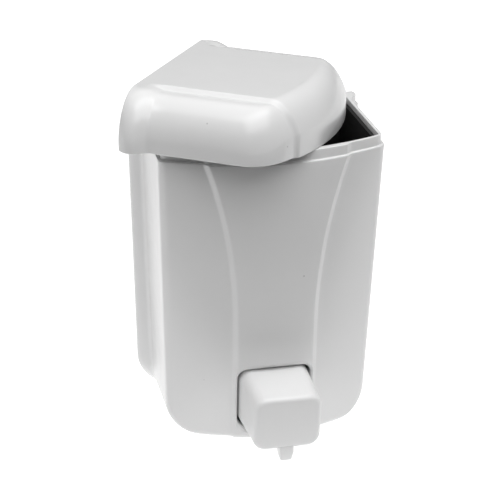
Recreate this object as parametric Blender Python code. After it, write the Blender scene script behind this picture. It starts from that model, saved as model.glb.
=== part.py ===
"""Wall mounted soap dispenser: bracket, housing, tank, pump, push button and loose lid.

Metres. +X is the viewer's right, -Y is towards the viewer, +Z is up. The wall is the plane Y = 0,
and the origin is the middle of the bracket's back face.
"""
import math

import bmesh
import bpy
from mathutils import Matrix, Vector

MM = 0.001
GAP = 0.3 * MM

# Housing: the ledge is the step that the lid sits on, depth is measured down from it
LEDGE_Z = 60 * MM
BODY_DEPTH = 141 * MM
BOTTOM_Z = LEDGE_Z - BODY_DEPTH
HALF_TOP = 52 * MM
HALF_BOTTOM = 48 * MM
FRONT_TOP_Y = -66.8 * MM
FRONT_BOTTOM_Y = -57.4 * MM
BOW_TOP = 13.2 * MM
BOW_BOTTOM = 15.3 * MM
WALL = 2.2 * MM
CORNER = 3.5 * MM
INNER_CORNER = 2 * MM
LOWER_RADIUS = 14 * MM
LOWER_EDGE = 3 * MM
WALL_SIDE_Y = -0.6 * MM
BACK_Y = -3.2 * MM
LIP_RISE = 4.7 * MM
LIP_INSET = 1.4 * MM
LIP_WALL = 1.7 * MM

# Flare: the back edge bulges outwards, and its cross-section is part of one sine wave
FLARE_TOP = 56.4 * MM
FLARE_BOTTOM = 53.6 * MM
FLARE_RADIUS = 16.5 * MM
FLARE_WALL = 2.2 * MM
FLARE_START_Y = -13.8 * MM
FLARE_ARC = 0.84 * math.pi
FLARE_SOFT = 0.05
FLARE_STEPS = 8

# Raised panel: its half width shrinks from the ledge down to a constant strip
PANEL_STEP = 1.6 * MM
PANEL_SLOPE = 1.5 * MM
PANEL_HALF = 19 * MM
PANEL_SPREAD = 13.7 * MM
PANEL_FADE = 85 * MM

# Lid, in its closed position on the ledge
LID_TOP = 23.4 * MM
SIDE_SKIRT = 4.5 * MM
FRONT_SKIRT = 9.5 * MM
LID_SHOULDER = 16 * MM
LID_NOSE = 12 * MM
LID_CORNER = 12.6 * MM
LID_TOP_CORNER = 1.7 * MM
LID_CREASE = math.radians(32)
LID_EDGE_WALL = 1.1 * MM
LID_WALL = 2.2 * MM
LID_REBATE = 5.2 * MM
LID_REBATE_SLOPE = 1.3 * MM
BAND_IN = PANEL_HALF + PANEL_SPREAD - PANEL_SLOPE
BAND_OUT = PANEL_HALF + PANEL_SPREAD + PANEL_SLOPE
BULGE = FLARE_TOP - HALF_TOP
LID_YAW = math.radians(55.9)
LID_PIVOT_X = -1.6 * MM
LID_PIVOT_Y = -46.6 * MM
LID_REST_RISE = LIP_RISE + GAP

# Tank
TANK_GAP = 1.3 * MM
TANK_WALL = 1.8 * MM
TANK_BACK_Y = -10 * MM
TANK_TOP_Z = LEDGE_Z + 2.2 * MM
BAY_FRONT_Y = -44 * MM
BAY_TOP_Z = -37 * MM
BOSS_R = 4 * MM
BOSS_FRONT_Y = -5.8 * MM
SCREW_X = 42 * MM
SCREW_Z = (44 * MM, -48 * MM)
SCREW_HEAD_R = 3 * MM
SCREW_SHANK_R = 1.3 * MM
SCREW_HOLE_R = 1.7 * MM
SCREW_SLOT = (1.4 * MM, 0.35 * MM)

# Push button and its opening
KEY_Z = -59.2 * MM
OPENING_HALF_X = 17.4 * MM
OPENING_HALF_Z = 15.7 * MM
OPENING_RADIUS = 5 * MM
OPENING_LIP = 2.4 * MM
KEY_GAP = 0.4 * MM
KEY_RADIUS = 6.2 * MM
KEY_WALL = 1.8 * MM
KEY_FRONT_TOP_Y = -102.3 * MM
KEY_FRONT_BOTTOM_Y = -98.6 * MM
KEY_REAR_Y = -60 * MM
KEY_DRAFT = 1.3 * MM
KEY_EDGE = 2.6 * MM
KEY_STOP = 1.5 * MM
COLLAR_REAR_Y = -62.2 * MM
COLLAR_WALL = 1.6 * MM
POST_R = 5.5 * MM
POST_REAR_Y = -84.3 * MM
POST_SEAT_Y = -88 * MM
CHANNEL_R = 1.4 * MM
SPOUT_Y = -94.8 * MM
SPOUT_BOTTOM_Z = -79.9 * MM
SPOUT_TOP_Z = -70.8 * MM
SPOUT_HALF = 3.6 * MM
SPOUT_BORE = 1.3 * MM

# Pump, turned about a level axis that runs front to back
PUMP_Z = -57 * MM
BORE_R = 8 * MM
CYLINDER_R = 10 * MM
CYLINDER_FRONT_Y = -52 * MM
CYLINDER_REAR_Y = -14.4 * MM
FLANGE_R = 14 * MM
FLANGE_FRONT_Y = -39.9 * MM
FLANGE_REAR_Y = -37.4 * MM
NUT_R = 15 * MM
NUT_FRONT_Y = -48.3 * MM
NUT_REAR_Y = BAY_FRONT_Y - GAP
NUT_GROOVES = 12
ROD_R = 3.5 * MM
ROD_BORE_R = 2.2 * MM
ROD_DUCT_R = 1.1 * MM
ROD_FRONT_Y = -87.7 * MM
ROD_REAR_Y = -37 * MM
SPRING_R = 6.4 * MM
SPRING_WIRE = 0.6 * MM
SPRING_FRONT_Y = -82.3 * MM
SPRING_REAR_Y = -55.6 * MM
SPRING_TURNS = 7
INLET_BALL_R = 3.1 * MM
INLET_BALL_Y = -19.6 * MM
OUTLET_BALL_R = 1.6 * MM
OUTLET_BALL_Y = -80.3 * MM

# Bracket
PLATE_HALF_X = 35 * MM
PLATE_HALF_Z = 37 * MM
PLATE = 2.6 * MM
PLATE_CORNER = 6 * MM
HOOK_X = 24 * MM
HOOK_Z = (22 * MM, -22 * MM)
HOOK_HALF = 5 * MM
HOOK_STEM = 2.6 * MM
HOOK_LIP = 6 * MM
HOOK_LIP_WALL = 2.4 * MM
HOOK_FRONT_Y = -8.4 * MM
UNHOOK_TRAVEL = 7.5 * MM
HOLE_X = 27 * MM
HOLE_Z = 30.5 * MM
HOLE_R = 2.3 * MM
HOLE_SINK = 1.9 * MM

# Colours: base colour, roughness, metallic
WHITE = ((0.80, 0.80, 0.80), 0.25, 0.0)
KEY_WHITE = ((0.86, 0.86, 0.86), 0.32, 0.0)
NATURAL = ((0.72, 0.73, 0.72), 0.40, 0.0)
DARK = ((0.02, 0.02, 0.022), 0.45, 0.0)
RUBBER = ((0.03, 0.03, 0.03), 0.80, 0.0)
STEEL = ((0.60, 0.60, 0.60), 0.28, 1.0)


def clear_scene():
    for old in list(bpy.data.objects):
        bpy.data.objects.remove(old, do_unlink=True)


def paint(name, look):
    colour, roughness, metallic = look
    material = bpy.data.materials.new(name)
    material.use_nodes = True
    shader = material.node_tree.nodes["Principled BSDF"]
    shader.inputs["Base Color"].default_value = (*colour, 1.0)
    shader.inputs["Roughness"].default_value = roughness
    shader.inputs["Metallic"].default_value = metallic
    return material


def add_object(name, mesh, look, angle=35):
    mesh.materials.append(paint(name, look))
    mesh.shade_smooth()
    mesh.set_sharp_from_angle(angle=math.radians(angle))
    made = bpy.data.objects.new(name, mesh)
    bpy.context.collection.objects.link(made)
    return made


def mesh_of(name, points, faces):
    """A mesh whose doubled points merge and whose faces point outwards."""
    shape = bmesh.new()
    made = [shape.verts.new(p) for p in points]
    for face in faces:
        shape.faces.new([made[i] for i in face])
    bmesh.ops.remove_doubles(shape, verts=shape.verts, dist=1e-7)
    bmesh.ops.dissolve_degenerate(shape, dist=1e-7, edges=shape.edges)
    bmesh.ops.recalc_face_normals(shape, faces=shape.faces)
    mesh = bpy.data.meshes.new(name)
    shape.to_mesh(mesh)
    shape.free()
    return mesh


def bridge(rings, closed=False):
    """Faces between neighbouring rings with the same number of points."""
    count = len(rings[0])
    faces = []
    for k in range(len(rings) - (0 if closed else 1)):
        a, b = k * count, ((k + 1) % len(rings)) * count
        for i in range(count):
            j = (i + 1) % count
            faces.append((a + i, a + j, b + j, b + i))
    return faces


def flat_list(rings):
    return [p for ring in rings for p in ring]


def stack_mesh(name, rings):
    """A closed skin over a stack of rings, capped at both ends."""
    count = len(rings[0])
    last = (len(rings) - 1) * count
    caps = [tuple(range(count)), tuple(range(last, last + count))]
    return mesh_of(name, flat_list(rings), caps + bridge(rings))


def both_sides(half):
    """Completes a ring from its right half, which runs from the back centre to the front centre."""
    return half + [(-x, y, z) for x, y, z in reversed(half[1:-1])]


def boolean(target, cutter, operation="DIFFERENCE"):
    """Applies one Boolean and removes the cutter."""
    step = target.modifiers.new(operation.title(), "BOOLEAN")
    step.operation = operation
    step.object = cutter
    bpy.context.view_layer.update()
    result = bpy.data.meshes.new_from_object(target.evaluated_get(bpy.context.evaluated_depsgraph_get()))
    target.modifiers.remove(step)
    target.data = result
    bpy.data.objects.remove(cutter, do_unlink=True)


def helper(mesh):
    made = bpy.data.objects.new("helper", mesh)
    made.hide_render = True
    made.display_type = "WIRE"
    bpy.context.collection.objects.link(made)
    return made


def box_mesh(low, high):
    shape = bmesh.new()
    bmesh.ops.create_cube(shape, size=1.0)
    size = [b - a for a, b in zip(low, high)]
    middle = [(a + b) / 2 for a, b in zip(low, high)]
    bmesh.ops.scale(shape, vec=size, verts=shape.verts)
    bmesh.ops.translate(shape, vec=middle, verts=shape.verts)
    mesh = bpy.data.meshes.new("box")
    shape.to_mesh(mesh)
    shape.free()
    return mesh


def turned_mesh(name, profile, x=0.0, z=PUMP_Z, steps=32):
    """A solid of revolution about a line along Y, from a closed outline of (y, radius) points."""
    rings = []
    for k in range(steps):
        angle = 2 * math.pi * (k + 0.5) / steps
        rings.append([(x + r * math.cos(angle), y, z + r * math.sin(angle)) for y, r in profile])
    count = len(profile)
    faces = []
    for face in bridge(rings, closed=True):
        if profile[face[0] % count][1] > 0 or profile[face[1] % count][1] > 0:
            faces.append(face)
    return mesh_of(name, flat_list(rings), faces)


def mm_profile(*pairs):
    return [(y * MM, r * MM) for y, r in pairs]


def bore_mesh(rear_y, front_y, radius, x=0.0, z=PUMP_Z, steps=16):
    """A plain cylinder along Y."""
    return turned_mesh("bore", [(rear_y, 0), (rear_y, radius), (front_y, radius), (front_y, 0)], x, z, steps)


# ---------------------------------------------------------------- shared outlines


def depth_share(z):
    return (LEDGE_Z - z) / BODY_DEPTH


def side_x(z):
    return HALF_TOP + (HALF_BOTTOM - HALF_TOP) * depth_share(z)


def front_y(x, z):
    share = depth_share(z)
    bow = BOW_TOP + (BOW_BOTTOM - BOW_TOP) * share
    corner_y = FRONT_TOP_Y + (FRONT_BOTTOM_Y - FRONT_TOP_Y) * share
    return corner_y - bow * (1 - (x / side_x(z)) ** 2)


def panel_half(z):
    fade = max(0.0, 1 - (LEDGE_Z - z) / PANEL_FADE)
    return PANEL_HALF + PANEL_SPREAD * fade ** 2.2


def trimmed_side(z, inset=0.0):
    """Half width of the body, with its rounded lower corners."""
    if z >= BOTTOM_Z + LOWER_RADIUS:
        return side_x(z) - inset
    rise = BOTTOM_Z + LOWER_RADIUS - z
    return side_x(z) - LOWER_RADIUS + math.sqrt(max((LOWER_RADIUS - inset) ** 2 - rise ** 2, 0.0))


def trimmed_flare(z):
    """Half width of the flared back edge, with its own rounded lower corners."""
    edge = FLARE_TOP + (FLARE_BOTTOM - FLARE_TOP) * depth_share(z)
    rise = min(max(BOTTOM_Z + FLARE_RADIUS - z, 0.0), FLARE_RADIUS)
    return edge - FLARE_RADIUS + math.sqrt(FLARE_RADIUS ** 2 - rise ** 2)


def flare_share(y):
    """How far the back edge bulges: 0 where it leaves the side, 1 at its widest."""
    run = min(max((y - FLARE_START_Y) / (WALL_SIDE_Y - FLARE_START_Y), 0.0), 1.0)
    run = (math.hypot(run, FLARE_SOFT) - FLARE_SOFT) / (math.hypot(1, FLARE_SOFT) - FLARE_SOFT)
    return math.sin(FLARE_ARC * run)


def flare_curve(reach, flare):
    """The bulge from the wall to the side, seen from above."""
    points = []
    for k in range(FLARE_STEPS + 1):
        y = WALL_SIDE_Y + (FLARE_START_Y - WALL_SIDE_Y) * k / FLARE_STEPS
        points.append((reach + (flare - reach) * flare_share(y), y))
    return points


def corner_and_front(z, reach, corner, inset=0.0, step=0.0, nose=0.0):
    """Points from the end of the side, round the corner and along the bowed front to the centre."""
    def front(x):
        return front_y(x, z) + inset + nose

    start = Vector((reach, front(reach) + corner))
    middle = Vector((reach, front(reach)))
    end = Vector((reach - corner, front(reach - corner)))
    points = []
    for k in range(7):
        t = k / 6
        spot = start * (1 - t) ** 2 + middle * 2 * t * (1 - t) + end * t ** 2
        points.append((spot.x, spot.y))
    outer = min(panel_half(z) + PANEL_SLOPE, end.x - 0.02 * MM)
    inner = outer - 2 * PANEL_SLOPE
    for k in range(1, 5):
        x = end.x + (outer - end.x) * k / 4
        points.append((x, front(x)))
    for k in range(5):
        x = inner * (1 - k / 4)
        points.append((x, front(x) - step))
    return points


def rounded_rectangle(half_x, half_z, radius):
    """(x, z) points round a rectangle with rounded corners."""
    points = []
    for quarter, (side, level) in enumerate(((1, 1), (-1, 1), (-1, -1), (1, -1))):
        for k in range(5):
            angle = math.radians(90 * quarter + 22.5 * k)
            x = side * (half_x - radius) + radius * math.cos(angle)
            points.append((x, level * (half_z - radius) + radius * math.sin(angle)))
    return points


def lift(points, z):
    return [(x, y, z) for x, y in points]


# ---------------------------------------------------------------- housing


def housing_outer(z):
    reach = trimmed_side(z)
    foot = max(0.0, BOTTOM_Z + LOWER_EDGE - z)
    nose = LOWER_EDGE - math.sqrt(max(LOWER_EDGE ** 2 - foot ** 2, 0.0))
    edge = flare_curve(reach, trimmed_flare(z))
    back = edge[0][0] - FLARE_WALL
    half = [(0, BACK_Y), (back, BACK_Y), (back, WALL_SIDE_Y)] + edge
    half += corner_and_front(z, reach, CORNER, step=PANEL_STEP, nose=nose)
    return both_sides(lift(half, z))


def housing_lip(z):
    """A ring of the lip: the same shape as the ledge, set in, with a flat back."""
    reach = side_x(LEDGE_Z) - LIP_INSET
    edge = [(x, min(y, BACK_Y)) for x, y in flare_curve(reach, FLARE_TOP - LIP_INSET)]
    back = edge[0][0] + LIP_INSET - FLARE_WALL
    half = [(0, BACK_Y), (back, BACK_Y), (back + GAP, BACK_Y)] + edge
    half += corner_and_front(LEDGE_Z, reach, CORNER, inset=LIP_INSET, step=PANEL_STEP)
    return both_sides(lift(half, z))


def inner_ring(z, inset, back_y, at=None, side_stop=FLARE_START_Y, clamp=False):
    """A ring inside the housing: straight back and sides down to side_stop, then the bowed front.

    A clamped ring goes no further forward than side_stop, and is straight there.
    """
    level = z if at is None else at
    reach = trimmed_side(level, inset)
    half = [(reach * share, back_y) for share in (0, 0.5, 0.8, 0.9, 0.95)]
    side_steps = FLARE_STEPS - 2
    half += [(reach, back_y + (side_stop - back_y) * k / side_steps) for k in range(side_steps + 1)]
    half += corner_and_front(level, reach, INNER_CORNER, inset=inset)
    if clamp:
        half = [(x, max(y, side_stop)) for x, y in half]
    return both_sides(lift(half, z))


def lower_levels(low, radius):
    """Heights that follow the rounded lower corners."""
    return [low + radius * (1 - math.cos(math.radians(a))) for a in (0, 12, 25, 40, 55, 72, 90)]


def opening_ring(grow, offset):
    """The rounded outline of the button opening, set off the front face by an amount."""
    outline = rounded_rectangle(OPENING_HALF_X + grow, OPENING_HALF_Z + grow, OPENING_RADIUS + grow)
    return [(x, front_y(x, KEY_Z + z) - PANEL_STEP + offset, KEY_Z + z) for x, z in outline]


def opening_cutter():
    rings = [opening_ring(OPENING_LIP + 1 * MM, -4 * MM)]
    for angle in (0, 30, 60, 90):
        turn = math.radians(angle)
        grow = OPENING_LIP * (1 - math.sin(turn))
        rings.append(opening_ring(grow, OPENING_LIP * (1 - math.cos(turn)) - 0.05 * MM))
    rings.append([(x, COLLAR_REAR_Y + 3 * MM, z) for x, y, z in opening_ring(0, 0)])
    return helper(stack_mesh("opening", rings))


def opening_collar():
    """A short sleeve behind the opening that guides the button."""
    rings = [opening_ring(COLLAR_WALL, 1.2 * MM)]
    rings.append([(x, COLLAR_REAR_Y, z) for x, y, z in opening_ring(COLLAR_WALL, 0)])
    return helper(stack_mesh("collar", rings))


def hook_window(x, z):
    low = (x - HOOK_HALF - 1 * MM, BACK_Y - WALL - 1 * MM, z - UNHOOK_TRAVEL - GAP)
    high = (x + HOOK_HALF + 1 * MM, BACK_Y + 1 * MM, z + HOOK_STEM + GAP)
    return helper(box_mesh(low, high))


def make_housing():
    levels = lower_levels(BOTTOM_Z, LOWER_RADIUS)
    levels += [LEDGE_Z - d * MM for d in (115, 100, 85, 70, 58, 47, 37, 28, 20, 13, 6, 0)]
    rings = [housing_outer(z) for z in levels]
    rings += [housing_lip(z) for z in (LEDGE_Z, LEDGE_Z + LIP_RISE)]
    rim = LIP_INSET + LIP_WALL
    inner_back = BACK_Y - WALL
    rings.append(inner_ring(LEDGE_Z + LIP_RISE, rim, inner_back, at=LEDGE_Z))
    rings.append(inner_ring(LEDGE_Z - 1 * MM, rim, inner_back))
    floor = BOTTOM_Z + WALL
    inner = [LEDGE_Z - d * MM for d in (4, 30, 60, 90, 115)]
    inner += reversed(lower_levels(floor, LOWER_RADIUS - WALL))
    rings += [inner_ring(z, WALL, inner_back) for z in inner]
    housing = add_object("housing", stack_mesh("housing", rings), WHITE)
    boolean(housing, opening_collar(), "UNION")
    boolean(housing, opening_cutter())
    for x in (-HOOK_X, HOOK_X):
        for z in HOOK_Z:
            boolean(housing, hook_window(x, z))
    for x in (-SCREW_X, SCREW_X):
        for z in SCREW_Z:
            boolean(housing, helper(bore_mesh(BACK_Y + MM, BACK_Y - WALL - MM, SCREW_HOLE_R, x, z)))
    return housing


# ---------------------------------------------------------------- lid


def ease(t):
    """0 to 1 with a soft start and end."""
    t = min(max(t, 0.0), 1.0)
    return t * t * (3 - 2 * t)


def lid_shoulder(t, frontness):
    """How far in (0 to 1), how high and how steep the shell is at a share t of the way up its shoulder."""
    first = LID_CREASE * frontness
    angle = first + (math.pi / 2 - first) * t
    inward = (math.cos(first) - math.cos(angle)) / math.cos(first)
    upward = (math.sin(angle) - math.sin(first)) / (1 - math.sin(first))
    skirt = SIDE_SKIRT + (FRONT_SKIRT - SIDE_SKIRT) * frontness
    return inward, skirt + (LID_TOP - skirt) * upward, angle


def band_share(x):
    """1 on the raised band, 0 beside it."""
    return ease((BAND_OUT - abs(x)) / (BAND_OUT - BAND_IN))


def step_share(x, y):
    """The raised part of the top: the band, and the rise into the back edge."""
    peak = FLARE_START_Y + (WALL_SIDE_Y - FLARE_START_Y) * 0.5 * math.pi / FLARE_ARC
    rise = 1.0 if y > peak else flare_share(y)
    return 1 - (1 - band_share(x)) * (1 - rise)


def top_columns(reach):
    """Places across the top, from its edge to the centre line, with the band's slope among them."""
    scale = min(reach / BAND_OUT, 1.0)
    return [(reach + BAND_OUT * scale) / 2] + [x * scale for x in (BAND_OUT, BAND_IN, BAND_IN / 2, 0)]


def lid_plan(reach, bulge, corner, nose=0.0, inset=0.0, step=0.0):
    """Half an outline of the lid: along the back, round the bulge, down the side and along the front."""
    across = top_columns(HALF_TOP - LID_SHOULDER + 0.5 * BULGE * flare_share(WALL_SIDE_Y))
    half = [(x * (1 - inset / HALF_TOP), WALL_SIDE_Y) for x in reversed(across)]
    half += flare_curve(reach, reach + bulge)
    return half + corner_and_front(LEDGE_Z, reach, corner, inset=inset, nose=nose, step=step)


def lid_outer(t):
    """Half a ring of the outside, at a share t of the way up the shoulder."""
    side_in, side_up, side_angle = lid_shoulder(t, 0.0)
    bulge = BULGE * (1 - 0.5 * math.sin(side_angle))
    corner = LID_CORNER + (LID_TOP_CORNER - LID_CORNER) * side_in
    nose = LID_NOSE * lid_shoulder(t, 1.0)[0]
    plan = lid_plan(HALF_TOP - LID_SHOULDER * side_in, bulge, corner, nose=nose)
    closed = lid_plan(HALF_TOP, BULGE, LID_CORNER)
    front_from = len(plan) - len(corner_and_front(LEDGE_Z, HALF_TOP, LID_CORNER))
    ring = []
    for i, (x, y) in enumerate(plan):
        in_front = i >= front_from
        frontness = ease((HALF_TOP - closed[i][0]) / (HALF_TOP - BAND_OUT)) if in_front else 0.0
        inward, height, angle = lid_shoulder(t, frontness)
        share = band_share(x) if in_front else step_share(x, y)
        forward = PANEL_STEP * math.cos(angle) * share if in_front else 0.0
        ring.append((x, y - forward, LEDGE_Z + height + PANEL_STEP * math.sin(angle) * share))
    return ring


def lid_rim(z, inset):
    plan = lid_plan(HALF_TOP - inset, BULGE, LID_CORNER - inset, inset=inset, step=PANEL_STEP)
    return [(x, min(y, WALL_SIDE_Y - LID_WALL), z) for x, y in plan]


def lid_inner(t):
    inward = 1 - math.cos(math.pi / 2 * t)
    reach = HALF_TOP - LID_WALL - (LID_SHOULDER - 0.8 * MM) * inward
    corner = LID_CORNER - LID_WALL + (LID_TOP_CORNER - LID_CORNER + LID_WALL) * inward
    z = LEDGE_Z + FRONT_SKIRT + (LID_TOP - LID_WALL - FRONT_SKIRT) * math.sin(math.pi / 2 * t)
    plan = lid_plan(reach, 0.0, corner, nose=(LID_NOSE - 0.6 * MM) * inward, inset=LID_WALL)
    return [(x, min(y, WALL_SIDE_Y - LID_WALL), z) for x, y in plan]


def make_lid():
    """The lid's mesh is laid out closed, then set askew on the lip about its turning axis."""
    halves = [lid_inner(k / 5) for k in range(5, -1, -1)]
    halves.append(lid_rim(LEDGE_Z + LID_REBATE + LID_REBATE_SLOPE, LID_WALL))
    halves += [lid_rim(z, LID_EDGE_WALL) for z in (LEDGE_Z + LID_REBATE, LEDGE_Z)]
    halves.append([(x, y, LEDGE_Z) for x, y, z in lid_outer(0.0)])
    halves += [lid_outer(k / 8) for k in range(9)]
    rings = [both_sides(half) for half in halves]
    count = len(rings[0])
    points = flat_list(rings)
    faces = [tuple(range(count))] + bridge(rings)
    faces += lid_top_faces(halves[-1], points, (len(rings) - 1) * count, count)
    mesh = mesh_of("lid", points, faces)
    pivot = Vector((LID_PIVOT_X, LID_PIVOT_Y, LEDGE_Z))
    mesh.transform(Matrix.Translation(-pivot))
    lid = add_object("lid", mesh, WHITE, 40)
    axis = bpy.data.objects.new("lid_turn_axis", None)
    axis.location = pivot + Vector((0, 0, LID_REST_RISE))
    axis.rotation_euler = (0, 0, LID_YAW)
    bpy.context.collection.objects.link(axis)
    lid.parent = axis
    return lid


def lid_top_faces(half, points, base, count):
    """Closes the top in rows across it, so that the edges of the raised band stay straight."""
    first = len(top_columns(HALF_TOP))
    faces = []
    for sign in (1, -1):
        ring = [base + i if sign > 0 else base + (count - i) % count for i in range(len(half))]
        rows = [[ring[i] for i in range(first, -1, -1)]]
        for i in range(first + 1, len(half)):
            x, y, z = half[i]
            row = [ring[i]]
            for across in top_columns(x):
                points.append((sign * across, y, LEDGE_Z + LID_TOP + PANEL_STEP * step_share(across, y)))
                row.append(len(points) - 1)
            rows.append(row)
        for a, b in zip(rows, rows[1:]):
            faces += [(a[k], a[k + 1], b[k + 1], b[k]) for k in range(len(a) - 1)]
    return faces


# ---------------------------------------------------------------- tank


def tank_skin(inset, back_y, bay_y, bay_z):
    """Rings of one side of the tank wall from its top down, stepped back over the pump bay."""
    upper = [TANK_TOP_Z, LEDGE_Z - 30 * MM, LEDGE_Z - 60 * MM, bay_z]
    lower = [bay_z, -50 * MM] + lower_levels(BOTTOM_Z + inset, LOWER_RADIUS - inset)[::-1]
    rings = [inner_ring(z, inset, back_y, side_stop=bay_y) for z in upper]
    return rings + [inner_ring(z, inset, back_y, side_stop=bay_y, clamp=True) for z in lower]


def make_tank():
    outer = WALL + TANK_GAP
    rings = tank_skin(outer, TANK_BACK_Y, BAY_FRONT_Y, BAY_TOP_Z)[::-1]
    wall = TANK_WALL
    rings += tank_skin(outer + wall, TANK_BACK_Y - wall, BAY_FRONT_Y + wall, BAY_TOP_Z + wall)
    tank = add_object("reservoir", stack_mesh("reservoir", rings), DARK)
    boolean(tank, helper(bore_mesh(BAY_FRONT_Y + 3 * MM, BAY_FRONT_Y - MM, CYLINDER_R + GAP, steps=32)))
    for x in (-SCREW_X, SCREW_X):
        for z in SCREW_Z:
            boolean(tank, helper(bore_mesh(BOSS_FRONT_Y, TANK_BACK_Y - MM, BOSS_R, x, z)), "UNION")
            boolean(tank, helper(bore_mesh(BOSS_FRONT_Y + MM, TANK_BACK_Y, SCREW_SHANK_R + GAP, x, z)))
    return tank


def make_tank_screws():
    places = [(x, z) for x in (-SCREW_X, SCREW_X) for z in SCREW_Z]
    long, short = SCREW_SLOT
    for number, (x, z) in enumerate(places, 1):
        profile = mm_profile((-0.9, 0), (-0.9, 1.8)) + [(-1.4 * MM, SCREW_HEAD_R), (-2.9 * MM, SCREW_HEAD_R)]
        profile += [(-2.9 * MM, SCREW_SHANK_R), (-8.9 * MM, SCREW_SHANK_R), (-9.7 * MM, 0)]
        screw = add_object(f"tank_screw_{number}", turned_mesh("screw", profile, x, z, 16), STEEL)
        for half_x, half_z in ((long, short), (short, long)):
            low, high = (x - half_x, -1.8 * MM, z - half_z), (x + half_x, 0, z + half_z)
            boolean(screw, helper(box_mesh(low, high)))


# ---------------------------------------------------------------- push button


def key_front_y(z):
    share = (KEY_Z + OPENING_HALF_Z - z) / (2 * OPENING_HALF_Z)
    return KEY_FRONT_TOP_Y + (KEY_FRONT_BOTTOM_Y - KEY_FRONT_TOP_Y) * share


def key_ring(share, shrink=0.0, y=None):
    """Rounded outline of the button: share is 0 at its rear and 1 at its front face."""
    narrow = KEY_GAP + KEY_DRAFT * share + shrink
    radius = max(KEY_RADIUS - shrink, 1.2 * MM)
    points = []
    for x, z in rounded_rectangle(OPENING_HALF_X - narrow, OPENING_HALF_Z - narrow, radius):
        along = KEY_REAR_Y + (key_front_y(KEY_Z + z) - KEY_REAR_Y) * share
        points.append((x, along if y is None else y, KEY_Z + z))
    return points


def key_face_ring(turn, inset=0.0):
    """Ring round the soft front edge: 0 degrees on the side, 90 on the front face."""
    shrink = KEY_EDGE * (1 - math.cos(turn)) + inset
    back = KEY_EDGE * (1 - math.sin(turn)) + inset
    return [(x, y + back, z) for x, y, z in key_ring(1.0, shrink)]


def make_button():
    """A hollow key with a stop flange at its rear, a post for the rod and a channel down to the spout."""
    stop_y = KEY_REAR_Y - 1.6 * MM
    rings = [key_ring(0, -KEY_STOP, KEY_REAR_Y), key_ring(0, -KEY_STOP, stop_y), key_ring(0, 0, stop_y)]
    rings += [key_face_ring(math.radians(a)) for a in (0, 22.5, 45, 67.5, 90)]
    rings.reverse()
    rings.append(key_ring(0, KEY_WALL, KEY_REAR_Y))
    rings += [key_face_ring(math.radians(a), KEY_WALL) for a in (20, 70)]
    button = add_object("push_button", stack_mesh("push_button", rings), KEY_WHITE, 30)
    face_y = KEY_FRONT_BOTTOM_Y - 0.6 * MM
    profile = [(face_y, 0), (face_y, POST_R), (POST_REAR_Y, POST_R), (POST_REAR_Y, ROD_R + GAP)]
    profile += [(POST_SEAT_Y, ROD_R + GAP), (POST_SEAT_Y, CHANNEL_R), (SPOUT_Y, CHANNEL_R), (SPOUT_Y, 0)]
    post = helper(turned_mesh("post", profile))
    low = (-4.6 * MM, SPOUT_Y - 3.6 * MM, KEY_Z - OPENING_HALF_Z + 2.4 * MM)
    boolean(post, helper(box_mesh(low, (4.6 * MM, SPOUT_Y + 4.6 * MM, PUMP_Z - 2 * MM))), "UNION")
    boolean(button, post, "UNION")
    for half, top in ((1.2 * MM, PUMP_Z + 0.5 * MM), (SPOUT_HALF + GAP, SPOUT_TOP_Z + GAP)):
        low = (-half, SPOUT_Y - half, KEY_Z - 2 * OPENING_HALF_Z)
        boolean(button, helper(box_mesh(low, (half, SPOUT_Y + half, top))))
    return button


def make_spout():
    """A short tapered nozzle held in the underside of the button."""
    levels = ((2.35 * MM, SPOUT_BOTTOM_Z), (2.8 * MM, SPOUT_BOTTOM_Z + 0.6 * MM), (SPOUT_HALF, -75.6 * MM),
              (SPOUT_HALF, SPOUT_TOP_Z), (SPOUT_BORE, SPOUT_TOP_Z), (SPOUT_BORE, SPOUT_BOTTOM_Z))
    rings = [square_ring(half, z) for half, z in levels]
    mesh = mesh_of("spout_tip", flat_list(rings), bridge(rings, closed=True))
    return add_object("spout_tip", mesh, KEY_WHITE, 30)


def square_ring(half, z):
    """A square with cut corners about the spout's axis."""
    cut = half * 0.3
    corners = [(half, half - cut), (half - cut, half), (cut - half, half), (-half, half - cut)]
    corners += [(-x, -y) for x, y in corners]
    return [(x, SPOUT_Y + y, z) for x, y in corners]


# ---------------------------------------------------------------- pump


def add_turned(name, look, profile, steps=32, angle=35):
    return add_object(name, turned_mesh(name, profile, steps=steps), look, angle)


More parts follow.
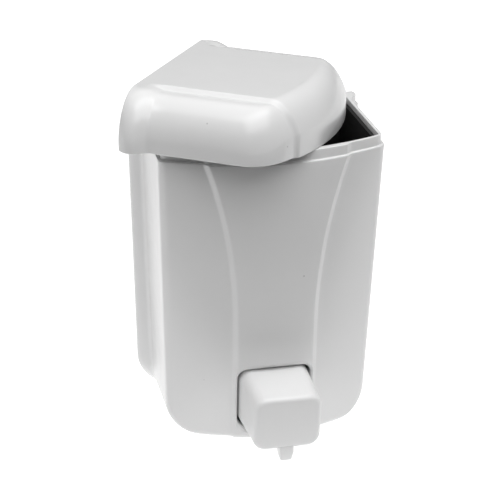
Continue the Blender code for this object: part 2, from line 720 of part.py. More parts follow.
def make_pump_body():
    rear, front = CYLINDER_REAR_Y, CYLINDER_FRONT_Y
    add_turned("pump_cylinder", NATURAL, [
        (front, BORE_R), (front, CYLINDER_R), (FLANGE_FRONT_Y, CYLINDER_R), (FLANGE_FRONT_Y, FLANGE_R),
        (FLANGE_REAR_Y, FLANGE_R), (FLANGE_REAR_Y, CYLINDER_R), (rear - MM, CYLINDER_R),
        (rear, CYLINDER_R - MM), (rear, 2.5 * MM), (rear - 2 * MM, 2.5 * MM),
        (rear - 2.5 * MM, 3.6 * MM), (rear - 2.5 * MM, BORE_R)])
    bore = CYLINDER_R + GAP
    seal_rear = FLANGE_FRONT_Y - GAP
    seal_front = seal_rear - 1.7 * MM
    add_turned("tank_gasket", RUBBER, [
        (seal_front, bore), (seal_front, FLANGE_R), (seal_rear, FLANGE_R), (seal_rear, bore)])
    nut = add_turned("pump_nut", NATURAL, [
        (NUT_FRONT_Y, bore), (NUT_FRONT_Y, NUT_R), (NUT_REAR_Y, NUT_R), (NUT_REAR_Y, bore)])
    for k in range(NUT_GROOVES):
        turn = 2 * math.pi * k / NUT_GROOVES
        x, z = (NUT_R + 0.6 * MM) * math.cos(turn), PUMP_Z + (NUT_R + 0.6 * MM) * math.sin(turn)
        boolean(nut, helper(bore_mesh(NUT_REAR_Y + MM, NUT_FRONT_Y - MM, 1.5 * MM, x, z, 10)))
    add_turned("cylinder_cap", NATURAL, mm_profile(
        (-55.3, 5.4), (-55.3, 10.4), (-54.7, 11), (-52.3, 11), (-52.3, 7.7), (-46, 7.7),
        (-46, 3.8), (-53.3, 3.8), (-53.3, 5.4)))
    add_turned("rod_wiper", RUBBER, mm_profile((-55.0, 3.8), (-55.0, 5.1), (-53.6, 5.1), (-53.6, 3.8)), 24)


def make_valves():
    add_turned("inlet_cage", NATURAL, mm_profile(
        (-24.6, 2.6), (-24.6, 7.7), (-17.2, 7.7), (-17.2, 3.6), (-22.9, 3.6), (-22.9, 2.6)), 24)
    add_ball("inlet_ball", STEEL, INLET_BALL_Y, INLET_BALL_R)
    add_ball("outlet_ball", STEEL, OUTLET_BALL_Y, OUTLET_BALL_R)
    add_coil("outlet_spring", STEEL, (-87.6 * MM, -83.3 * MM), 1.55 * MM, 0.22 * MM, 4)


def add_ball(name, look, y, radius):
    shape = bmesh.new()
    bmesh.ops.create_uvsphere(shape, u_segments=16, v_segments=10, radius=radius)
    mesh = bpy.data.meshes.new(name)
    shape.to_mesh(mesh)
    shape.free()
    ball = add_object(name, mesh, look, 60)
    ball.location = (0, y, PUMP_Z)
    return ball


def add_coil(name, look, ends_y, radius, wire, turns):
    """A coil about the pump axis: a wire swept along a helix, with closed ends."""
    around, sides = 14, 6
    total = around * turns
    corners = [2 * math.pi * s / sides for s in range(sides)]
    first, last = ends_y[0] + wire, ends_y[1] - wire
    rings = []
    for k in range(total + 1):
        angle = 2 * math.pi * k / around
        out = Vector((math.cos(angle), 0, math.sin(angle)))
        centre = out * radius + Vector((0, first + (last - first) * k / total, PUMP_Z))
        rings.append([centre + wire * (out * math.cos(a) + Vector((0, math.sin(a), 0))) for a in corners])
    return add_object(name, stack_mesh(name, rings), look, 60)


def make_piston():
    front, rear = ROD_FRONT_Y, ROD_REAR_Y
    profile = [(front, ROD_BORE_R), (front, ROD_R)]
    profile += mm_profile((-43.4, 3.5), (-43.4, 5.2), (-42.2, 5.2), (-42.2, 3.9), (-38.6, 3.9), (-38.6, 5.2))
    profile += [(rear - 0.4 * MM, 5.2 * MM), (rear, 4.8 * MM), (rear, ROD_DUCT_R), (-77.6 * MM, ROD_DUCT_R)]
    profile.append((-78.8 * MM, ROD_BORE_R))
    add_turned("piston_rod", NATURAL, profile, 24)
    add_turned("piston_seal", RUBBER, mm_profile(
        (-41.9, 4.2), (-41.9, 7.4), (-41.2, 7.7), (-39.6, 7.7), (-38.9, 7.4), (-38.9, 6.4), (-40.0, 5.6),
        (-38.9, 5.5), (-38.9, 4.2)), 32)
    add_turned("spring_seat", NATURAL, mm_profile((-84.0, 3.8), (-84.0, 8), (-82.6, 8), (-82.6, 3.8)), 24)
    add_coil("return_spring", STEEL, (SPRING_FRONT_Y, SPRING_REAR_Y), SPRING_R, SPRING_WIRE, SPRING_TURNS)


# ---------------------------------------------------------------- bracket


def hook_outline(z):
    """Side view of a hook: a stem out of the plate with a lip that points up."""
    rear, front, top = -PLATE + 0.4 * MM, HOOK_FRONT_Y, z + HOOK_STEM
    lip, peak = front + HOOK_LIP_WALL, top + HOOK_LIP
    return [(rear, z), (front, z), (front, peak), (lip, peak), (lip, top), (rear, top)]


def hook_mesh(x, z):
    rings = [[(side, y, level) for y, level in hook_outline(z)] for side in (x - HOOK_HALF, x + HOOK_HALF)]
    return stack_mesh("hook", rings)


def make_bracket():
    mesh = box_mesh((-PLATE_HALF_X, -PLATE, -PLATE_HALF_Z), (PLATE_HALF_X, 0, PLATE_HALF_Z))
    shape = bmesh.new()
    shape.from_mesh(mesh)
    corners = [e for e in shape.edges if abs(e.verts[0].co.y - e.verts[1].co.y) > MM]
    bmesh.ops.bevel(shape, geom=corners, offset=PLATE_CORNER, segments=4, profile=0.5, affect="EDGES")
    shape.to_mesh(mesh)
    shape.free()
    bracket = add_object("wall_bracket", mesh, NATURAL)
    for x in (-HOOK_X, HOOK_X):
        for z in HOOK_Z:
            boolean(bracket, helper(hook_mesh(x, z)), "UNION")
    sunk = -PLATE - 0.2 * MM
    hole = [(MM, 0), (MM, HOLE_R), (-MM, HOLE_R), (sunk, HOLE_R + HOLE_SINK), (sunk, 0)]
    for x in (-HOLE_X, HOLE_X):
        for z in (-HOLE_Z, HOLE_Z):
            boolean(bracket, helper(turned_mesh("hole", hole, x, z, 20)))
    return bracket


def main():
    clear_scene()
    make_bracket()
    make_housing()
    make_lid()
    make_tank()
    make_tank_screws()
    make_button()
    make_spout()
    make_pump_body()
    make_valves()
    make_piston()


main()
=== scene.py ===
# %% [markdown]
# # A wall mounted soap dispenser
# The real thing is a moulded plastic box for liquid soap. A lid lies loose and askew on its open top,
# and a push button low in the front works a small pump. This notebook builds the finish around a
# measured frame: every piece keeps the place that the frame gives it, and gets finer curves and a real
# surface here.
#
# Axes: +X is the viewer's right, -Y is towards the viewer, +Z is up, and lengths are metres.

# %% Load the frame
import math

import bmesh
import bpy
from mathutils import Matrix, Vector


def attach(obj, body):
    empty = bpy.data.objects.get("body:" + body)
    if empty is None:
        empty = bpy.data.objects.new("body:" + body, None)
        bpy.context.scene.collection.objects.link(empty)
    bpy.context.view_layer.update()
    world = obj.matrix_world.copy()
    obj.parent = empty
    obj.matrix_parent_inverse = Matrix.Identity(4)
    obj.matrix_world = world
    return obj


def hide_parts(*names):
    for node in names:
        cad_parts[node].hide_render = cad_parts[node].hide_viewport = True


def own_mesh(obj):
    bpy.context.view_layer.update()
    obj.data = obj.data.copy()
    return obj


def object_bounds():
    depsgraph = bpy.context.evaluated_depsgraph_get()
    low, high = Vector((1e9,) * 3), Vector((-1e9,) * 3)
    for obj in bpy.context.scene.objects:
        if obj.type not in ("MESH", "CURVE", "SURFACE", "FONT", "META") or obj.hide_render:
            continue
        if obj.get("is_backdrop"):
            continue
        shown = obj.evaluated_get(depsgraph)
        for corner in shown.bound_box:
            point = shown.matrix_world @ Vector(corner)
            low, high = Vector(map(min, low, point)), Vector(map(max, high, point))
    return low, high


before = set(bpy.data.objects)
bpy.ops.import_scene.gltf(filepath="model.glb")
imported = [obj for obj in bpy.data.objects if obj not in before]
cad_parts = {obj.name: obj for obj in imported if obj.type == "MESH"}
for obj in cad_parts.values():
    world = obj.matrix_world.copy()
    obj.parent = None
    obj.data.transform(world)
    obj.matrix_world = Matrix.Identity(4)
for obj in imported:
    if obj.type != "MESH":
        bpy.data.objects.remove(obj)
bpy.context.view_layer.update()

MM = 0.001

# %% [markdown]
# ## Outlines of the body
# A moulded box like this is easiest to understand as a stack of level outlines. Each outline is half a
# loop: the flat back, the bulging edge that hides the wall behind it, the straight side, a rounded
# corner and the bowed front with its raised panel. It could be modelled with a subdivided cube, but a
# formula keeps the taper, the bow and the two inward curving panel edges exact at every height.

# %% Sizes of the body
LEDGE_Z = 60 * MM
BODY_DEPTH = 141 * MM
BOTTOM_Z = LEDGE_Z - BODY_DEPTH
HALF_TOP, HALF_BOTTOM = 52 * MM, 48 * MM
FRONT_TOP_Y, FRONT_BOTTOM_Y = -66.8 * MM, -57.4 * MM
BOW_TOP, BOW_BOTTOM = 13.2 * MM, 15.3 * MM
WALL = 2.2 * MM
CORNER = 3.5 * MM
LOWER_RADIUS = 14 * MM
LOWER_EDGE = 3 * MM
FLARE_TOP, FLARE_BOTTOM = 56.4 * MM, 53.6 * MM
FLARE_RADIUS = 16.5 * MM
FLARE_WALL = 2.2 * MM
FLARE_START_Y = -13.8 * MM
FLARE_ARC = 0.84 * math.pi
BULGE_STEPS = 16
WALL_SIDE_Y = -0.6 * MM
BACK_Y = -3.2 * MM
LIP_RISE, LIP_INSET, LIP_WALL = 4.7 * MM, 1.4 * MM, 1.7 * MM
PANEL_STEP, PANEL_SLOPE = 1.6 * MM, 1.5 * MM
PANEL_HALF, PANEL_SPREAD, PANEL_FADE = 19 * MM, 13.7 * MM, 85 * MM


# %% [markdown]
# ## From sizes to level outlines
# The functions here answer how wide and how deep the body is at a height, and draw its right half as
# seen from above. The housing and the lid share them, so their panels and bulging edges line up by
# themselves.

# %% Helpers for smooth steps and level outlines
def ease(t):
    """0 to 1 with a soft start and end."""
    t = min(max(t, 0.0), 1.0)
    return t * t * (3 - 2 * t)


def depth_share(z):
    return (LEDGE_Z - z) / BODY_DEPTH


def side_x(z):
    return HALF_TOP + (HALF_BOTTOM - HALF_TOP) * depth_share(z)


def front_y(x, z):
    share = depth_share(z)
    bow = BOW_TOP + (BOW_BOTTOM - BOW_TOP) * share
    corner_y = FRONT_TOP_Y + (FRONT_BOTTOM_Y - FRONT_TOP_Y) * share
    return corner_y - bow * (1 - (x / side_x(z)) ** 2)


def panel_half(z):
    fade = max(0.0, 1 - (LEDGE_Z - z) / PANEL_FADE)
    return PANEL_HALF + PANEL_SPREAD * fade ** 2.2


def trimmed_side(z, inset=0.0):
    """Half width of the body, with its rounded lower corners."""
    if z >= BOTTOM_Z + LOWER_RADIUS:
        return side_x(z) - inset
    rise = BOTTOM_Z + LOWER_RADIUS - z
    return side_x(z) - LOWER_RADIUS + math.sqrt(max((LOWER_RADIUS - inset) ** 2 - rise ** 2, 0.0))


def trimmed_flare(z):
    edge = FLARE_TOP + (FLARE_BOTTOM - FLARE_TOP) * depth_share(z)
    rise = max(BOTTOM_Z + FLARE_RADIUS - z, 0.0)
    return edge - FLARE_RADIUS + math.sqrt(FLARE_RADIUS ** 2 - min(rise, FLARE_RADIUS) ** 2)


def flare_share(y):
    """How far the back edge bulges at a place along Y: 0 where it leaves the side, 1 at its widest."""
    run = min(max((y - FLARE_START_Y) / (WALL_SIDE_Y - FLARE_START_Y), 0.0), 1.0)
    soft = 0.05
    run = (math.sqrt(run ** 2 + soft ** 2) - soft) / (math.sqrt(1 + soft ** 2) - soft)
    return math.sin(FLARE_ARC * run)


def flare_curve(reach, flare):
    """The bulge from the wall to the side, seen from above."""
    points = []
    for k in range(BULGE_STEPS + 1):
        y = WALL_SIDE_Y + (FLARE_START_Y - WALL_SIDE_Y) * k / BULGE_STEPS
        points.append((reach + (flare - reach) * flare_share(y), y))
    return points


def corner_and_front(z, reach, corner, inset=0.0, step=0.0, nose=0.0):
    """The side, the corner and the bowed front with its raised panel, to the centre line."""
    def front(x):
        return front_y(x, z) + inset + nose

    start = Vector((reach, front(reach) + corner))
    middle = Vector((reach, front(reach)))
    end = Vector((reach - corner, front(reach - corner)))
    points = [(reach, FLARE_START_Y + (start.y - FLARE_START_Y) * k / 6) for k in range(1, 6)]
    for k in range(13):
        t = k / 12
        spot = start * (1 - t) ** 2 + middle * 2 * t * (1 - t) + end * t ** 2
        points.append((spot.x, spot.y))
    outer = min(panel_half(z) + PANEL_SLOPE, end.x - 0.02 * MM)
    for k in range(1, 9):
        x = end.x + (outer - end.x) * k / 9
        points.append((x, front(x)))
    for k in range(11):
        x = outer - 2 * PANEL_SLOPE * k / 10
        points.append((x, front(x) - step * ease(k / 10)))
    for k in range(1, 15):
        x = (outer - 2 * PANEL_SLOPE) * (1 - k / 14)
        points.append((x, front(x) - step))
    return points


def both_sides(half):
    """Completes a ring from its right half, which runs from the back centre to the front centre."""
    return half + [(-p[0], *p[1:]) for p in reversed(half[1:-1])]


ledge_points = corner_and_front(LEDGE_Z, HALF_TOP, CORNER)
print("half outline at the ledge:", len(ledge_points), "points after the bulge")


# %% [markdown]
# ## From outlines to meshes
# Moulded shells are skins over stacked outlines, and pump pieces are turned profiles. Both end as one
# closed mesh with its faces outwards. Windows and holes are then cut with exact Booleans, as a tool
# would cut them.

# %% Helpers that turn outlines into meshes
def mesh_of(name, points, faces):
    """A mesh with doubled points merged and its faces pointing outwards."""
    shape = bmesh.new()
    made = [shape.verts.new(p) for p in points]
    for face in faces:
        shape.faces.new([made[i] for i in face])
    bmesh.ops.remove_doubles(shape, verts=shape.verts, dist=1e-7)
    bmesh.ops.dissolve_degenerate(shape, dist=1e-7, edges=shape.edges)
    bmesh.ops.recalc_face_normals(shape, faces=shape.faces)
    mesh = bpy.data.meshes.new(name)
    shape.to_mesh(mesh)
    shape.free()
    return mesh


def bridge(rings, closed=False):
    """Faces between neighbouring rings that all have the same number of points."""
    count = len(rings[0])
    faces = []
    for k in range(len(rings) - (0 if closed else 1)):
        a, b = k * count, ((k + 1) % len(rings)) * count
        for i in range(count):
            j = (i + 1) % count
            faces.append((a + i, a + j, b + j, b + i))
    return faces


def loft(name, rings):
    """A closed skin over a stack of rings, with a flat cap at both ends."""
    count = len(rings[0])
    last = (len(rings) - 1) * count
    caps = [tuple(range(count)), tuple(range(last, last + count))]
    return mesh_of(name, [p for ring in rings for p in ring], caps + bridge(rings))


def turned(name, profile, x=0.0, z=0.0, steps=48):
    """A solid of revolution about a level line along Y, from a closed outline of (y, radius) points."""
    rings = []
    for k in range(steps):
        angle = 2 * math.pi * (k + 0.5) / steps
        rings.append([(x + r * math.cos(angle), y, z + r * math.sin(angle)) for y, r in profile])
    count = len(profile)
    faces = []
    for face in bridge(rings, closed=True):
        i, j = face[0] % count, face[1] % count
        if profile[i][1] > 0 or profile[j][1] > 0:
            faces.append(face)
    return mesh_of(name, [p for ring in rings for p in ring], faces)


def smooth(mesh, angle=35):
    """Smooth shading but for edges sharper than the angle."""
    mesh.shade_smooth()
    mesh.set_sharp_from_angle(angle=math.radians(angle))


def place(name, mesh, angle=35):
    """Links a mesh as a smooth object."""
    smooth(mesh, angle)
    made = bpy.data.objects.new(name, mesh)
    bpy.context.collection.objects.link(made)
    return made


def evaluated_mesh(target):
    bpy.context.view_layer.update()
    return bpy.data.meshes.new_from_object(target.evaluated_get(bpy.context.evaluated_depsgraph_get()))


def cut(target, mesh, operation="DIFFERENCE"):
    """Applies one exact Boolean with a mesh, and removes the cutter."""
    cutter = bpy.data.objects.new("cutter", mesh)
    bpy.context.collection.objects.link(cutter)
    step = target.modifiers.new("cut", "BOOLEAN")
    step.operation = operation
    step.solver = "EXACT"
    step.object = cutter
    result = evaluated_mesh(target)
    target.modifiers.remove(step)
    target.data = result
    bpy.data.objects.remove(cutter, do_unlink=True)


def box_mesh(low, high):
    corners = [(x, y, z) for x in (low[0], high[0]) for y in (low[1], high[1]) for z in (low[2], high[2])]
    faces = [(0, 1, 3, 2), (4, 6, 7, 5), (0, 4, 5, 1), (2, 3, 7, 6), (0, 2, 6, 4), (1, 5, 7, 3)]
    return mesh_of("box", corners, faces)


def report(piece):
    size_mm = [round(d / MM, 1) for d in piece.dimensions]
    print(piece.name, len(piece.data.polygons), "faces, size in mm", size_mm)


# %% [markdown]
# ## The housing
# The outer shell is one moulding: a deep open box, a narrow ledge all round its top, and a thin lip
# inside the ledge that keeps the lid in place. The outlines are lofted from the bottom up, over the lip
# and down the inside, so the wall has its real thickness. Small radii at the ledge and the lip catch
# the light as moulded edges do.

# %% Loft the housing
def soft_steps(count=5):
    return [math.radians(90 * k / count) for k in range(count + 1)]


def housing_outer(z, inset=0.0):
    reach, flare = trimmed_side(z) - inset, trimmed_flare(z) - inset
    foot = max(0.0, BOTTOM_Z + LOWER_EDGE - z)
    nose = LOWER_EDGE - math.sqrt(max(LOWER_EDGE ** 2 - foot ** 2, 0.0))
    edge = flare_curve(reach, flare)
    wall_x = edge[0][0]
    half = [(0, BACK_Y), (wall_x - FLARE_WALL, BACK_Y), (wall_x - FLARE_WALL, WALL_SIDE_Y)]
    half += edge
    half += corner_and_front(z, reach, CORNER, inset=inset, step=PANEL_STEP, nose=nose)
    return both_sides([(x, y, z) for x, y in half])


def lip_ring(z, inset):
    """A ring of the lip: the same shape as the ledge, set in."""
    reach, flare = side_x(LEDGE_Z) - inset, FLARE_TOP - inset
    edge = [(x, min(y, BACK_Y)) for x, y in flare_curve(reach, flare)]
    wall_x = edge[0][0] + inset
    half = [(0, BACK_Y), (wall_x - FLARE_WALL, BACK_Y), (wall_x - FLARE_WALL + 0.3 * MM, BACK_Y)]
    half += edge
    half += corner_and_front(LEDGE_Z, reach, CORNER, inset=inset, step=PANEL_STEP)
    return both_sides([(x, y, z) for x, y in half])


def inner_ring(z, inset, at=None):
    """A ring of the inside, whose back is flat."""
    level = z if at is None else at
    reach, back_y = trimmed_side(level, inset), BACK_Y - WALL
    half = [(0, back_y), (reach * 0.5, back_y), (reach * 0.75, back_y)]
    half += [(reach * (0.9 + 0.1 * min(k / 4, 1)), back_y + (FLARE_START_Y - back_y) * max(k - 4, 0) / 12)
             for k in range(17)]
    half += corner_and_front(level, reach, 2 * MM, inset=inset)
    return both_sides([(x, y, z) for x, y in half])


def rising(low, radius, steps=16):
    return [low + radius * (1 - math.cos(math.pi / 2 * k / steps)) for k in range(steps + 1)]


LEDGE_ROUND = 0.7 * MM
LIP_ROUND = 0.5 * MM
levels = rising(BOTTOM_Z, LOWER_RADIUS)
top_level = LEDGE_Z - LEDGE_ROUND
body_steps = 44
levels += [levels[-1] + (top_level - levels[-1]) * k / body_steps for k in range(1, body_steps + 1)]
rings = [housing_outer(z) for z in levels]
for turn in soft_steps()[1:]:
    rings.append(housing_outer(top_level + LEDGE_ROUND * math.sin(turn), LEDGE_ROUND * (1 - math.cos(turn))))
lip_top = LEDGE_Z + LIP_RISE
rings += [lip_ring(z, LIP_INSET) for z in (LEDGE_Z, lip_top - LIP_ROUND)]
for turn in soft_steps()[1:]:
    out = LIP_ROUND * (1 - math.cos(turn))
    rings.append(lip_ring(lip_top - LIP_ROUND + LIP_ROUND * math.sin(turn), LIP_INSET + out))
rim = LIP_INSET + LIP_WALL
rings.append(inner_ring(lip_top, rim - LIP_ROUND, at=LEDGE_Z))
for turn in soft_steps(3)[1:]:
    out = LIP_ROUND * (1 - math.sin(turn))
    rings.append(inner_ring(lip_top - LIP_ROUND * (1 - math.cos(turn)), rim - out, at=LEDGE_Z))
rings.append(inner_ring(LEDGE_Z - 1 * MM, rim))
rings += [inner_ring(LEDGE_Z - d * MM, WALL) for d in (4, 30, 60, 90, 115)]
rings += [inner_ring(z, WALL) for z in reversed(rising(BOTTOM_Z + WALL, LOWER_RADIUS - WALL))]
housing = place("housing_shell", loft("housing_shell", rings))
report(housing)

# %% [markdown]
# ## The opening for the button
# The button slides through a rounded window with a soft rolled edge and a short guide behind it. Both
# are made from one outline that follows the bowed front: the guide is added, then the window is cut
# through. The back wall gets the four windows for the bracket's hooks and the holes for the tank's
# screws.

# %% Cut the openings
KEY_Z = -59.2 * MM
OPENING_HALF_X, OPENING_HALF_Z = 17.4 * MM, 15.7 * MM
OPENING_RADIUS, OPENING_LIP = 5 * MM, 2.4 * MM
COLLAR_REAR_Y = -62.2 * MM
COLLAR_WALL = 1.6 * MM
HOOK_X, HOOK_Z = 24 * MM, 22 * MM
HOOK_WINDOW_HALF, HOOK_WINDOW_DOWN, HOOK_WINDOW_UP = 6 * MM, 7.8 * MM, 2.9 * MM
SCREW_X, SCREW_Z = 42 * MM, (44 * MM, -48 * MM)
SCREW_HOLE_R, SCREW_HOLE_END_Y = 1.7 * MM, -6.4 * MM


def rounded_rectangle(half_x, half_z, radius, steps=8):
    """Points round a rectangle with arcs for corners, about the middle of the button."""
    points = []
    for quarter in range(4):
        sign_x, sign_z = (1, -1, -1, 1)[quarter], (1, 1, -1, -1)[quarter]
        for k in range(steps + 1):
            angle = math.radians(90 * (quarter + k / steps))
            x = sign_x * (half_x - radius) + radius * math.cos(angle)
            z = sign_z * (half_z - radius) + radius * math.sin(angle)
            points.append((x, KEY_Z + z))
    return points


def opening_ring(grow, offset):
    outline = rounded_rectangle(OPENING_HALF_X + grow, OPENING_HALF_Z + grow, OPENING_RADIUS + grow)
    return [(x, front_y(x, z) - PANEL_STEP + offset, z) for x, z in outline]


collar = [opening_ring(COLLAR_WALL, 1.2 * MM)]
collar.append([(x, COLLAR_REAR_Y, z) for x, y, z in opening_ring(COLLAR_WALL, 0)])
cut(housing, loft("collar", collar), "UNION")
window = [opening_ring(OPENING_LIP + 1 * MM, -4 * MM)]
for turn in soft_steps(7):
    grow = OPENING_LIP * (1 - math.sin(turn))
    window.append(opening_ring(grow, OPENING_LIP * (1 - math.cos(turn)) - 0.05 * MM))
window.append([(x, COLLAR_REAR_Y + 3 * MM, z) for x, y, z in opening_ring(0, 0)])
cut(housing, loft("window", window))
for x in (-HOOK_X, HOOK_X):
    for z in (-HOOK_Z, HOOK_Z):
        low = (x - HOOK_WINDOW_HALF, BACK_Y - WALL - MM, z - HOOK_WINDOW_DOWN)
        cut(housing, box_mesh(low, (x + HOOK_WINDOW_HALF, BACK_Y + MM, z + HOOK_WINDOW_UP)))
for x in (-SCREW_X, SCREW_X):
    for z in SCREW_Z:
        hole = [(BACK_Y + MM, 0), (BACK_Y + MM, SCREW_HOLE_R), (SCREW_HOLE_END_Y, SCREW_HOLE_R),
                (SCREW_HOLE_END_Y, 0)]
        cut(housing, turned("hole", hole, x, z, 24))
smooth(housing.data)
report(housing)

# %% [markdown]
# ## The lid
# The lid is a deep shell with big soft shoulders, a raised band in line with the body's panel, an edge
# at the back that bulges like the body's, and a crisp skirt across its front. It is laid out closed
# over the ledge, ring by ring up the shoulder and then in rows across the top. The band is a smooth
# step added along the shoulder's own direction, and at the back it melts into the bulge. At the end the
# whole shell is turned askew on the lip, where it lies at rest.

# %% Shape the lid
LID_TOP = 23.4 * MM
SIDE_SKIRT, FRONT_SKIRT = 4.5 * MM, 9.5 * MM
LID_SHOULDER, LID_NOSE = 16 * MM, 12 * MM
LID_CORNER, LID_TOP_CORNER = 12.6 * MM, 1.7 * MM
CREASE = math.radians(32)
LID_EDGE_WALL, LID_WALL, LID_REBATE = 1.1 * MM, 2.2 * MM, 5.2 * MM
EDGE_ROUND = 0.35 * MM
BAND_IN = PANEL_HALF + PANEL_SPREAD - PANEL_SLOPE
BAND_OUT = PANEL_HALF + PANEL_SPREAD + PANEL_SLOPE
LID_YAW = math.radians(55.9)
LID_PIVOT = Vector((-1.6 * MM, -46.6 * MM, LEDGE_Z))
LID_REST_RISE = LIP_RISE + 0.3 * MM


def lid_shoulder(t, frontness):
    """How far in (0 to 1), how high and how steep the shell is at a share t of the way up its shoulder."""
    first = CREASE * frontness
    angle = first + (math.pi / 2 - first) * t
    inward = (math.cos(first) - math.cos(angle)) / math.cos(first)
    upward = (math.sin(angle) - math.sin(first)) / (1 - math.sin(first))
    skirt = SIDE_SKIRT + (FRONT_SKIRT - SIDE_SKIRT) * frontness
    return inward, skirt + (LID_TOP - skirt) * upward, angle


def band_share(x):
    return ease((BAND_OUT - abs(x)) / (BAND_OUT - BAND_IN))


def back_rise_share(y):
    """The top's rise into the back edge: like the bulge, but it stays up at the wall."""
    peak = FLARE_START_Y + (WALL_SIDE_Y - FLARE_START_Y) * 0.5 * math.pi / FLARE_ARC
    return 1.0 if y > peak else flare_share(y)


def step_share(x, y):
    return 1 - (1 - band_share(x)) * (1 - back_rise_share(y))


def top_columns(reach):
    """Places across the top, from its edge to the centre, packed closely over the band's slopes."""
    outer, inner = BAND_OUT + 0.2 * MM, BAND_IN - 0.2 * MM
    scale = min(reach / outer, 1.0)
    stops = [outer * scale + (reach - outer * scale) * (1 - k / 3) for k in (1, 2)]
    stops += [scale * (outer + (inner - outer) * k / 10) for k in range(11)]
    return stops + [scale * inner * (1 - k / 12) for k in range(1, 13)]


def lid_plan(reach, bulge, corner, nose=0.0, inset=0.0, step=0.0):
    """Half an outline of the lid: along the back, round the bulge, down the side and along the front."""
    edge = flare_curve(reach, reach + bulge)
    half = [(x * (1 - inset / HALF_TOP), WALL_SIDE_Y) for x in BACK_COLUMNS] + edge
    return half + corner_and_front(LEDGE_Z, reach, corner, inset=inset, nose=nose, step=step)


BULGE = FLARE_TOP - HALF_TOP
TOP_REACH = HALF_TOP - LID_SHOULDER
BACK_COLUMNS = list(reversed(top_columns(TOP_REACH + 0.5 * BULGE * flare_share(WALL_SIDE_Y))))
FRONT_FROM = len(BACK_COLUMNS) + BULGE_STEPS + 1
CLOSED = lid_plan(HALF_TOP, BULGE, LID_CORNER)
FRONTNESS = [ease((HALF_TOP - x) / (HALF_TOP - BAND_OUT)) if i >= FRONT_FROM else 0.0
             for i, (x, y) in enumerate(CLOSED)]


def lid_outer(t):
    """Half a ring of the outside, at a share t of the way up the shoulder."""
    side_in, side_up, side_angle = lid_shoulder(t, 0.0)
    front_in = lid_shoulder(t, 1.0)[0]
    bulge = BULGE * (1 - 0.5 * math.sin(side_angle))
    corner = LID_CORNER + (LID_TOP_CORNER - LID_CORNER) * side_in
    plan = lid_plan(HALF_TOP - LID_SHOULDER * side_in, bulge, corner, nose=LID_NOSE * front_in)
    ring = []
    for i, (x, y) in enumerate(plan):
        inward, height, angle = lid_shoulder(t, FRONTNESS[i])
        share = band_share(x) if i >= FRONT_FROM else step_share(x, y)
        forward = PANEL_STEP * math.cos(angle) * share if i >= FRONT_FROM else 0.0
        ring.append((x, y - forward, LEDGE_Z + height + PANEL_STEP * math.sin(angle) * share))
    return ring


def lid_rim(z, inset, back_y=WALL_SIDE_Y):
    plan = lid_plan(HALF_TOP - inset, BULGE, LID_CORNER - inset, inset=inset, step=PANEL_STEP)
    return [(x, min(y, back_y), z) for x, y in plan]


def lid_inner(t):
    inward = 1 - math.cos(math.pi / 2 * t)
    reach = HALF_TOP - LID_WALL - (LID_SHOULDER - 0.8 * MM) * inward
    corner = LID_CORNER - LID_WALL + (LID_TOP_CORNER - LID_CORNER + LID_WALL) * inward
    nose = (LID_NOSE - 0.6 * MM) * inward
    z = LEDGE_Z + FRONT_SKIRT + (LID_TOP - LID_WALL - FRONT_SKIRT) * math.sin(math.pi / 2 * t)
    plan = lid_plan(reach, 0.0, corner, nose=nose, inset=LID_WALL)
    return [(x, min(y, WALL_SIDE_Y - LID_WALL), z) for x, y in plan]


# %% [markdown]
# ## The lid's shell
# The rings run from the middle of the inside, down and under the rim, then up the outside, and rows
# across the top close the shell. Only then is it turned and lifted to where it lies on the lip.

# %% Build the lid and set it askew
outer_halves = [[(x, y, LEDGE_Z + EDGE_ROUND) for x, y, z in lid_outer(0.0)]]
outer_halves += [lid_outer(k / 24) for k in range(25)]
inner_back = WALL_SIDE_Y - LID_WALL
halves = [lid_inner(k / 8) for k in range(8, -1, -1)]
halves.append(lid_rim(LEDGE_Z + LID_REBATE + 1.3 * MM, LID_WALL, inner_back))
halves += [lid_rim(z, LID_EDGE_WALL, inner_back) for z in (LEDGE_Z + LID_REBATE, LEDGE_Z + EDGE_ROUND)]
halves.append(lid_rim(LEDGE_Z, LID_EDGE_WALL - 0.2 * MM, WALL_SIDE_Y - LID_EDGE_WALL))
halves.append(lid_rim(LEDGE_Z, EDGE_ROUND, WALL_SIDE_Y - EDGE_ROUND))
rings = [both_sides(half) for half in halves + outer_halves]
count = len(rings[0])
points = [p for ring in rings for p in ring]
faces = [tuple(range(count))] + bridge(rings)
base = (len(rings) - 1) * count
last_half = outer_halves[-1]
first_row = len(BACK_COLUMNS)
for sign in (1, -1):
    ring_ids = [base + i if sign > 0 else base + (count - i) % count for i in range(len(last_half))]
    rows = [[ring_ids[i] for i in range(first_row, -1, -1)]]
    for i in range(first_row + 1, len(last_half)):
        x, y, z = last_half[i]
        row = [ring_ids[i]]
        for across in top_columns(x):
            points.append((sign * across, y, LEDGE_Z + LID_TOP + PANEL_STEP * step_share(across, y)))
            row.append(len(points) - 1)
        rows.append(row)
    for a, b in zip(rows, rows[1:]):
        faces += [(a[k], a[k + 1], b[k + 1], b[k]) for k in range(len(a) - 1)]
mesh = mesh_of("lid_shell", points, faces)
mesh.transform(Matrix.Translation(-LID_PIVOT))
mesh.transform(Matrix.Rotation(LID_YAW, 4, "Z"))
mesh.transform(Matrix.Translation(LID_PIVOT + Vector((0, 0, LID_REST_RISE))))
lid = place("lid_shell", mesh, 24)
report(lid)

# %% [markdown]
# ## The push button
# The button is a hollow key with a draft, so that it leaves its mould easily, and a soft edge round its
# face. Its corners are rounder than the window's, which leaves a thin dark gap that widens there.
# Inside is the post that holds the pump's rod and the channel to the spout.

